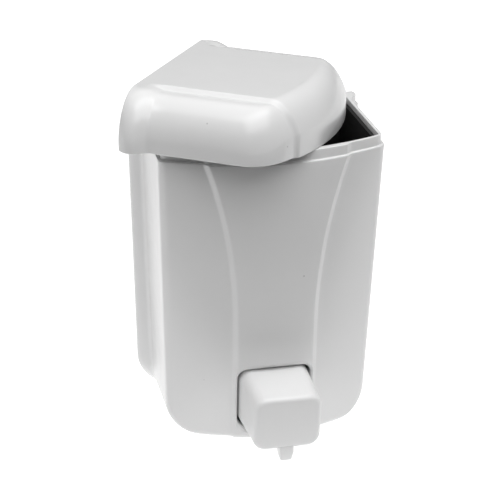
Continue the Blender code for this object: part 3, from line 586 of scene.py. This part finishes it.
# %% Build the button and the spout
KEY_GAP, KEY_WALL, KEY_DRAFT, KEY_EDGE = 0.4 * MM, 1.8 * MM, 1.3 * MM, 2.6 * MM
KEY_RADIUS = 6.2 * MM
KEY_FRONT_TOP_Y, KEY_FRONT_BOTTOM_Y = -102.3 * MM, -98.6 * MM
KEY_REAR_Y = -60 * MM
PUMP_Z = -57 * MM
ROD_R = 3.5 * MM
SPOUT_Y = -94.8 * MM
POST_R, POST_FRONT_Y, POST_REAR_Y = 5.5 * MM, KEY_FRONT_BOTTOM_Y - 0.6 * MM, -84.3 * MM
SOCKET_R, SOCKET_FRONT_Y, CHANNEL_R = ROD_R + 0.3 * MM, -88 * MM, 1.4 * MM


def key_front_y(z):
    share = (KEY_Z + OPENING_HALF_Z - z) / (2 * OPENING_HALF_Z)
    return KEY_FRONT_TOP_Y + (KEY_FRONT_BOTTOM_Y - KEY_FRONT_TOP_Y) * share


def key_ring(share, shrink=0.0, y=None):
    """Rounded outline of the button: share is 0 at its rear and 1 at its front face."""
    narrow = KEY_GAP + KEY_DRAFT * share + shrink
    radius = max(KEY_RADIUS - shrink, 1.2 * MM)
    outline = rounded_rectangle(OPENING_HALF_X - narrow, OPENING_HALF_Z - narrow, radius)
    rear_to = [KEY_REAR_Y + (key_front_y(z) - KEY_REAR_Y) * share for x, z in outline]
    return [(x, along if y is None else y, z) for (x, z), along in zip(outline, rear_to)]


def key_face_ring(turn, inset=0.0):
    """Ring round the soft front edge: 0 degrees on the side, 90 on the front face."""
    shrink = KEY_EDGE * (1 - math.cos(turn)) + inset
    back = KEY_EDGE * (1 - math.sin(turn)) + inset
    return [(x, y + back, z) for x, y, z in key_ring(1.0, shrink)]


flange = -1.5 * MM
rings = [key_ring(0, flange, KEY_REAR_Y), key_ring(0, flange, KEY_REAR_Y - 1.6 * MM)]
rings.append(key_ring(0, 0, KEY_REAR_Y - 1.6 * MM))
rings += [key_face_ring(turn) for turn in soft_steps(10)]
face = rings[-1]
for shrink in (0.12, 0.35, 0.65, 0.9):
    shrunk = [(x * (1 - shrink), KEY_Z + (z - KEY_Z) * (1 - shrink)) for x, y, z in face]
    rings.append([(x, key_front_y(z), z) for x, z in shrunk])
rings.reverse()
rings.append(key_ring(0, KEY_WALL, KEY_REAR_Y))
rings += [key_face_ring(math.radians(a), KEY_WALL) for a in (10, 35, 60, 80)]
button = place("button_shell", loft("button_shell", rings), 30)
post = [(POST_FRONT_Y, 0), (POST_FRONT_Y, POST_R), (POST_REAR_Y, POST_R), (POST_REAR_Y, SOCKET_R)]
post += [(SOCKET_FRONT_Y, SOCKET_R), (SOCKET_FRONT_Y, CHANNEL_R), (SPOUT_Y, CHANNEL_R), (SPOUT_Y, 0)]
holder = place("holder", turned("holder", post, z=PUMP_Z))
low = (-4.6 * MM, SPOUT_Y - 3.6 * MM, KEY_Z - OPENING_HALF_Z + 2.4 * MM)
cut(holder, box_mesh(low, (4.6 * MM, SPOUT_Y + 4.6 * MM, PUMP_Z - 2 * MM)), "UNION")
cut(button, holder.data.copy(), "UNION")
bpy.data.objects.remove(holder, do_unlink=True)
half = 1.2 * MM
cut(button, box_mesh((-half, SPOUT_Y - 1.3 * MM, -85 * MM), (half, SPOUT_Y + 1.3 * MM, PUMP_Z + 0.5 * MM)))
nest = 3.9 * MM
cut(button, box_mesh((-nest, SPOUT_Y - nest, -85 * MM), (nest, SPOUT_Y + nest, -70.5 * MM)))
smooth(button.data, 30)
report(button)


def cut_square(half_x, z):
    """A square with rounded corners about the spout's line."""
    radius, points = half_x * 0.35, []
    for quarter in range(4):
        sign_x, sign_y = (1, -1, -1, 1)[quarter], (1, 1, -1, -1)[quarter]
        for k in range(5):
            angle = math.radians(90 * (quarter + k / 4))
            x = sign_x * (half_x - radius) + radius * math.cos(angle)
            y = sign_y * (half_x - radius) + radius * math.sin(angle)
            points.append((x, SPOUT_Y + y, z))
    return points


SPOUT_LEVELS = ((2.35, -79.9), (2.6, -79.7), (2.8, -79.3), (3.6, -75.6), (3.6, -70.8), (1.3, -70.8),
                (1.3, -79.9))
rings = [cut_square(h * MM, z * MM) for h, z in SPOUT_LEVELS]
spout_mesh = mesh_of("spout_nozzle", [p for ring in rings for p in ring], bridge(rings, True))
spout = place("spout_nozzle", spout_mesh, 30)
report(spout)

# %% [markdown]
# ## Finishes
# Everything here is moulded plastic, rubber or spring wire, so the finishes share one recipe: a base
# colour with a slow, faint change of tone, a roughness that varies like handled plastic, a fine
# waviness from the mould, and for the outside some tiny specks and hairline scuffs. All patterns read
# the object's own coordinates.

# %% One recipe for all finishes
def finish_of(name, colour, roughness, metallic=0.0, tone=0.03, wave=0.02, grain=700.0, specks=0.0,
              scatter=0.0):
    """One material; wave is the bump's strength, grain its fineness, specks the share of dust and scuffs."""
    material = bpy.data.materials.new(name)
    material.use_nodes = True
    tree = material.node_tree
    shader = tree.nodes["Principled BSDF"]
    shader.inputs["Metallic"].default_value = metallic
    if scatter:
        shader.inputs["Subsurface Weight"].default_value = scatter
        shader.inputs["Subsurface Radius"].default_value = (0.003, 0.003, 0.003)
        shader.inputs["Subsurface Scale"].default_value = 0.5
    place_in = tree.nodes.new("ShaderNodeTexCoord").outputs["Object"]

    def noise(scale, detail, stretch=None):
        node = tree.nodes.new("ShaderNodeTexNoise")
        node.inputs["Scale"].default_value = scale
        node.inputs["Detail"].default_value = detail
        source = place_in
        if stretch:
            mapping = tree.nodes.new("ShaderNodeMapping")
            mapping.inputs["Rotation"].default_value = (0.3, 0.5, 0.4)
            mapping.inputs["Scale"].default_value = stretch
            tree.links.new(place_in, mapping.inputs["Vector"])
            source = mapping.outputs["Vector"]
        tree.links.new(source, node.inputs["Vector"])
        return node.outputs["Fac"]

    def spread(source, low, high, to_low, to_high):
        node = tree.nodes.new("ShaderNodeMapRange")
        for label, value in zip(("From Min", "From Max", "To Min", "To Max"), (low, high, to_low, to_high)):
            node.inputs[label].default_value = value
        tree.links.new(source, node.inputs["Value"])
        return node.outputs["Result"]

    def mixed(factor, first, second):
        node = tree.nodes.new("ShaderNodeMix")
        node.data_type = "RGBA"
        tree.links.new(factor, node.inputs["Factor"])
        for slot, value in ((6, first), (7, second)):
            if isinstance(value, tuple):
                node.inputs[slot].default_value = (*value, 1.0)
            else:
                tree.links.new(value, node.inputs[slot])
        return node.outputs[2]

    darker = tuple(c * (1 - tone) for c in colour)
    surface = mixed(spread(noise(35.0, 1.0), 0.1, 0.9, 0.0, 1.0), colour, darker)
    if specks:
        cells = tree.nodes.new("ShaderNodeTexVoronoi")
        cells.inputs["Scale"].default_value = 85.0
        tree.links.new(place_in, cells.inputs["Vector"])
        chosen = tree.nodes.new("ShaderNodeSeparateColor")
        tree.links.new(cells.outputs["Color"], chosen.inputs["Color"])
        near = spread(cells.outputs["Distance"], 0.018, 0.045, 1.0, 0.0)
        some = spread(chosen.outputs["Red"], 0.22, 0.25, 1.0, 0.0)
        both = tree.nodes.new("ShaderNodeMath")
        both.operation = "MULTIPLY"
        tree.links.new(near, both.inputs[0])
        tree.links.new(some, both.inputs[1])
        weak = spread(both.outputs[0], 0.0, 1.0, 0.0, specks)
        surface = mixed(weak, surface, tuple(c * 0.35 for c in colour))
        scuffs = spread(noise(420.0, 2.0, (1.0, 0.06, 1.0)), 0.72, 0.80, 0.0, 0.12 * specks)
        surface = mixed(scuffs, surface, tuple(c * 0.8 for c in colour))
    tree.links.new(surface, shader.inputs["Base Color"])
    rough = spread(noise(90.0, 1.0), 0.1, 0.9, roughness - 0.04, roughness + 0.04)
    tree.links.new(rough, shader.inputs["Roughness"])
    bump = tree.nodes.new("ShaderNodeBump")
    bump.inputs["Strength"].default_value = wave
    bump.inputs["Distance"].default_value = 0.0006
    tree.links.new(noise(grain, 2.0), bump.inputs["Height"])
    tree.links.new(bump.outputs["Normal"], shader.inputs["Normal"])
    return material


gloss_white = finish_of("gloss_white", (0.80, 0.80, 0.80), 0.22, specks=0.5, wave=0.03, grain=260.0)
key_white = finish_of("key_white", (0.88, 0.88, 0.88), 0.42, tone=0.02, wave=0.06, grain=900.0, specks=0.12)
tank_black = finish_of("tank_black", (0.008, 0.008, 0.008), 0.9, wave=0.1, grain=900.0)
natural = finish_of("natural_plastic", (0.70, 0.71, 0.70), 0.42, wave=0.05, scatter=0.1)
rubber = finish_of("seal_rubber", (0.03, 0.03, 0.03), 0.75, wave=0.15, grain=1400.0)
steel = finish_of("spring_steel", (0.62, 0.62, 0.63), 0.26, metallic=1.0, wave=0.04, grain=1800.0)
print("finishes:", len(bpy.data.materials))

# %% [markdown]
# ## Helpers for Geometry Nodes
# Whatever repeats or follows a path is drawn by a node tree. These helpers make an empty tree with
# named sizes, add nodes with their settings and links, and run a tree to a plain mesh that can be
# exported like any other piece.

# %% Helpers that build and run a node tree
def new_tree(name, inputs):
    """An empty Geometry Nodes tree with named size inputs; returns it with its input and output nodes."""
    tree = bpy.data.node_groups.new(name, "GeometryNodeTree")
    tree.interface.new_socket("Geometry", in_out="INPUT", socket_type="NodeSocketGeometry")
    for label, value in inputs:
        kind = "NodeSocketInt" if isinstance(value, int) else "NodeSocketFloat"
        socket = tree.interface.new_socket(label, in_out="INPUT", socket_type=kind)
        socket.default_value = value
    tree.interface.new_socket("Geometry", in_out="OUTPUT", socket_type="NodeSocketGeometry")
    return tree, tree.nodes.new("NodeGroupInput"), tree.nodes.new("NodeGroupOutput")


def add_node(tree, kind, links=(), **settings):
    """A node with some settings, and links given as (input name or number, source socket or value)."""
    node = tree.nodes.new(kind)
    for key, value in settings.items():
        setattr(node, key, value)
    for target, source in links:
        if isinstance(source, bpy.types.NodeSocket):
            tree.links.new(source, node.inputs[target])
        else:
            node.inputs[target].default_value = source
    return node


def run_tree(name, tree, values, mesh, material):
    """Runs a tree on a mesh with sizes by name, and returns the result as a plain object."""
    carrier = bpy.data.objects.new(name, mesh)
    bpy.context.collection.objects.link(carrier)
    step = carrier.modifiers.new("nodes", "NODES")
    step.node_group = tree
    for item in tree.interface.items_tree:
        if item.in_out == "INPUT" and item.name in values:
            step[item.identifier] = values[item.name]
    result = evaluated_mesh(carrier)
    carrier.modifiers.remove(step)
    carrier.data = result
    result.materials.clear()
    result.materials.append(material)
    result.shade_smooth()
    result.set_sharp_from_angle(angle=math.radians(40))
    return carrier


# %% [markdown]
# ## Screws made by Geometry Nodes
# Four equal screws hold the tank to the back wall. Where a part repeats, a node tree is the better
# tool: it draws one screw from named sizes and sets a copy on every point. Here the head is a cone with
# its rim, the shank is a cylinder, and the tree ends by turning the copies into real mesh and giving
# them their metal.

# %% Draw and place the screws
SCREW_SIZES = (("Head radius", 3 * MM), ("Head height", 1.6 * MM), ("Shank radius", 1.3 * MM),
               ("Length", 6.6 * MM))
tree, given, result = new_tree("tank_screw", SCREW_SIZES)
size = given.outputs
flat = add_node(tree, "GeometryNodeMeshCylinder", [("Vertices", 40), ("Radius", size["Head radius"]),
                                                   ("Depth", size["Head height"])])
dome = add_node(tree, "GeometryNodeMeshCone", [("Vertices", 40), ("Radius Bottom", size["Head radius"]),
                                               ("Radius Top", 1.9 * MM), ("Depth", 0.5 * MM)])
dome_up = add_node(tree, "GeometryNodeTransform", [("Geometry", dome.outputs["Mesh"]),
                                                   ("Translation", (0, 0, 0.8 * MM))])
shank = add_node(tree, "GeometryNodeMeshCylinder", [("Vertices", 24), ("Radius", size["Shank radius"]),
                                                    ("Depth", size["Length"])])
shank_down = add_node(tree, "GeometryNodeTransform", [("Geometry", shank.outputs["Mesh"]),
                                                      ("Translation", (0, 0, -3.5 * MM))])
solid = add_node(tree, "GeometryNodeMeshBoolean", operation="UNION")
for part in (flat.outputs["Mesh"], dome_up.outputs["Geometry"], shank_down.outputs["Geometry"]):
    tree.links.new(part, solid.inputs["Mesh 2"])
slots = []
for size_xyz in ((2.8 * MM, 0.7 * MM, 2 * MM), (0.7 * MM, 2.8 * MM, 2 * MM)):
    arm = add_node(tree, "GeometryNodeMeshCube", [("Size", size_xyz)])
    slots.append(add_node(tree, "GeometryNodeTransform", [("Geometry", arm.outputs["Mesh"]),
                                                          ("Translation", (0, 0, 1.2 * MM))]))
recess = add_node(tree, "GeometryNodeMeshBoolean", [("Mesh 1", solid.outputs["Mesh"])],
                  operation="DIFFERENCE")
for arm in slots:
    tree.links.new(arm.outputs["Geometry"], recess.inputs["Mesh 2"])
aimed = add_node(tree, "GeometryNodeTransform", [("Geometry", recess.outputs["Mesh"]),
                                                 ("Rotation", (-math.pi / 2, 0, 0))])
copies = add_node(tree, "GeometryNodeInstanceOnPoints", [("Points", given.outputs["Geometry"]),
                                                         ("Instance", aimed.outputs["Geometry"])])
real = add_node(tree, "GeometryNodeRealizeInstances", [("Geometry", copies.outputs["Instances"])])
painted = add_node(tree, "GeometryNodeSetMaterial", [("Geometry", real.outputs["Geometry"]),
                                                     ("Material", steel)])
tree.links.new(painted.outputs["Geometry"], result.inputs[0])
spots = bpy.data.meshes.new("screw_spots")
spots.from_pydata([(x, -2.1 * MM, z) for x in (-SCREW_X, SCREW_X) for z in SCREW_Z], [], [])
screws = run_tree("tank_screws", tree, {}, spots, steel)
report(screws)

# %% [markdown]
# ## Springs made by Geometry Nodes
# A coil spring is a wire that follows a helix. The tree draws the helix as a curve and sweeps a small
# circle along it. One tree makes both the return spring round the pump rod and the tiny spring behind
# the upper ball; only the sizes differ.

# %% Draw the springs
tree, given, result = new_tree("coil", (("Radius", 6.4 * MM), ("Wire", 0.6 * MM), ("Length", 26.7 * MM),
                                        ("Turns", 7.0), ("Front", -82.3 * MM)))
size = given.outputs
helix = add_node(tree, "GeometryNodeCurveSpiral", [("Resolution", 36), ("Rotations", size["Turns"]),
                                                   ("Start Radius", size["Radius"]),
                                                   ("End Radius", size["Radius"])])
shorter = add_node(tree, "ShaderNodeMath", [(0, size["Wire"]), (1, 2.0)], operation="MULTIPLY")
rise = add_node(tree, "ShaderNodeMath", [(0, size["Length"]), (1, shorter.outputs[0])], operation="SUBTRACT")
tree.links.new(rise.outputs[0], helix.inputs["Height"])
start = add_node(tree, "ShaderNodeMath", [(0, size["Front"]), (1, size["Wire"])], operation="ADD")
where = add_node(tree, "ShaderNodeCombineXYZ", [("Y", start.outputs[0]), ("Z", PUMP_Z)])
laid = add_node(tree, "GeometryNodeTransform", [("Geometry", helix.outputs["Curve"]),
                                                ("Translation", where.outputs["Vector"]),
                                                ("Rotation", (-math.pi / 2, 0, 0))])
wire = add_node(tree, "GeometryNodeCurvePrimitiveCircle", [("Resolution", 12), ("Radius", size["Wire"])])
swept = add_node(tree, "GeometryNodeCurveToMesh", [("Curve", laid.outputs["Geometry"]),
                                                   ("Profile Curve", wire.outputs["Curve"]),
                                                   ("Fill Caps", True)])
real = add_node(tree, "GeometryNodeRealizeInstances", [("Geometry", swept.outputs["Mesh"])])
painted = add_node(tree, "GeometryNodeSetMaterial", [("Geometry", real.outputs["Geometry"]),
                                                     ("Material", steel)])
tree.links.new(painted.outputs["Geometry"], result.inputs[0])
return_coil = run_tree("return_coil", tree, {}, bpy.data.meshes.new("none"), steel)
small = {"Radius": 1.55 * MM, "Wire": 0.22 * MM, "Length": 4.3 * MM, "Turns": 4.0, "Front": -87.6 * MM}
outlet_coil = run_tree("outlet_coil", tree, small, bpy.data.meshes.new("none"), steel)
report(return_coil)
report(outlet_coil)

# %% [markdown]
# ## Put the pieces on their bodies
# Each new piece rides on the body that its measured solid rides on, and hides that solid. Measured
# solids that are already right keep their shape and only get a finish.

# %% Ride, replace and paint
for piece, finish in ((housing, gloss_white), (lid, gloss_white), (button, key_white), (spout, key_white)):
    piece.data.materials.clear()
    piece.data.materials.append(finish)
RIDES = ((housing, "housing", ["housing"], "white_gloss"), (lid, "lid", ["lid"], "white_gloss"),
         (button, "button", ["push_button"], "key_white"), (spout, "button", ["spout_tip"], "key_white"),
         (screws, "housing", [f"tank_screw_{k}" for k in range(1, 5)], "steel"),
         (return_coil, "button", ["return_spring"], "steel"),
         (outlet_coil, "button", ["outlet_spring"], "steel"))
for piece, body, nodes, slot_name in RIDES:
    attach(piece, body)
    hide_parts(*nodes)
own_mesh(return_coil)
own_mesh(outlet_coil)
FINISHES = {"reservoir": tank_black, "tank_gasket": rubber, "rod_wiper": rubber, "piston_seal": rubber,
            "inlet_ball": steel, "outlet_ball": steel}
for name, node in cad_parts.items():
    node.data.materials.clear()
    node.data.materials.append(FINISHES.get(name, natural))
print("finished nodes:", len(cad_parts))

# %% [markdown]
# ## Floor, light and camera
# The dispenser hangs over a plain white sweep. The sweep glows, so it stays evenly white and takes no
# shadow. One wide soft light stands above and a stronger one above and in front, and together they
# model the white plastic. A dark card lies near in front, outside the view: it dims what the lower
# front reflects, and is never seen itself.

# %% Set the stage
def card(name, corners, colour, glow=0.0, seen=True):
    mesh = bpy.data.meshes.new(name)
    mesh.from_pydata(corners, [], [(0, 1, 2, 3)])
    made = bpy.data.objects.new(name, mesh)
    bpy.context.collection.objects.link(made)
    material = bpy.data.materials.new(name)
    material.use_nodes = True
    shader = material.node_tree.nodes["Principled BSDF"]
    shader.inputs["Base Color"].default_value = (*colour, 1.0)
    shader.inputs["Roughness"].default_value = 0.9
    shader.inputs["Specular IOR Level"].default_value = 0.1
    if glow:
        shader.inputs["Emission Color"].default_value = (1, 1, 1, 1)
        shader.inputs["Emission Strength"].default_value = glow
    mesh.materials.append(material)
    made.visible_camera = seen
    made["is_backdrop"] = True
    return made


FLOOR_Z = -0.16
card("floor", [(-12, -12, FLOOR_Z), (12, -12, FLOOR_Z), (12, 12, FLOOR_Z), (-12, 12, FLOOR_Z)],
     (0.5, 0.5, 0.5), glow=1.0)
edge_y, edge_z = -0.24, FLOOR_Z + 0.002
card("dark_floor", [(-3, -3, edge_z), (3, -3, edge_z), (3, edge_y, edge_z), (-3, edge_y, edge_z)],
     (0.04, 0.04, 0.04), seen=False)

world = bpy.data.worlds.new("studio")
bpy.context.scene.world = world
world.use_nodes = True
world.node_tree.nodes["Background"].inputs["Color"].default_value = (1, 1, 1, 1)
world.node_tree.nodes["Background"].inputs["Strength"].default_value = 0.03


def soft_light(name, place_at, aim, width, height, power):
    data = bpy.data.lights.new(name, "AREA")
    data.shape = "RECTANGLE"
    data.size, data.size_y, data.energy = width, height, power
    made = bpy.data.objects.new(name, data)
    made.location = place_at
    made.rotation_euler = (Vector(aim) - Vector(place_at)).to_track_quat("-Z", "Y").to_euler()
    bpy.context.collection.objects.link(made)
    return made


LIGHT_AIM, LIGHT_SIZE = (0, -0.04, 0), 1.6
TOP_POWER, MAIN_POWER = 9, 22
soft_light("top_light", (-0.1, 0.1, 1.4), LIGHT_AIM, LIGHT_SIZE, LIGHT_SIZE, TOP_POWER)
soft_light("main_light", (0.1, -0.7, 1.3), LIGHT_AIM, LIGHT_SIZE, LIGHT_SIZE, MAIN_POWER)

camera_data = bpy.data.cameras.new("camera")
camera_data.lens = 123.4
camera_data.sensor_width = 36
camera_data.clip_start, camera_data.clip_end = 0.02, 50
camera = bpy.data.objects.new("camera", camera_data)
AZIMUTH, ELEVATION, ROLL = math.radians(-12.9), math.radians(23.4), math.radians(0.33)
DISTANCE, TARGET = 0.808, Vector((-4.5 * MM, -40 * MM, 1.9 * MM))
back = Vector((math.sin(AZIMUTH) * math.cos(ELEVATION), -math.cos(AZIMUTH) * math.cos(ELEVATION),
               math.sin(ELEVATION)))
camera.location = TARGET + back * DISTANCE
turn = (-back).to_track_quat("-Z", "Y")
camera.rotation_euler = (turn.to_matrix() @ Matrix.Rotation(ROLL, 3, "Z")).to_euler()
bpy.context.collection.objects.link(camera)
bpy.context.scene.camera = camera
bpy.context.scene.view_settings.view_transform = "Standard"
print("camera at", [round(v, 3) for v in camera.location])

# %% [markdown]
# ## Last step
# The box round all the finished pieces is measured.

# %% Measure the box of the finished pieces
low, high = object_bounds()
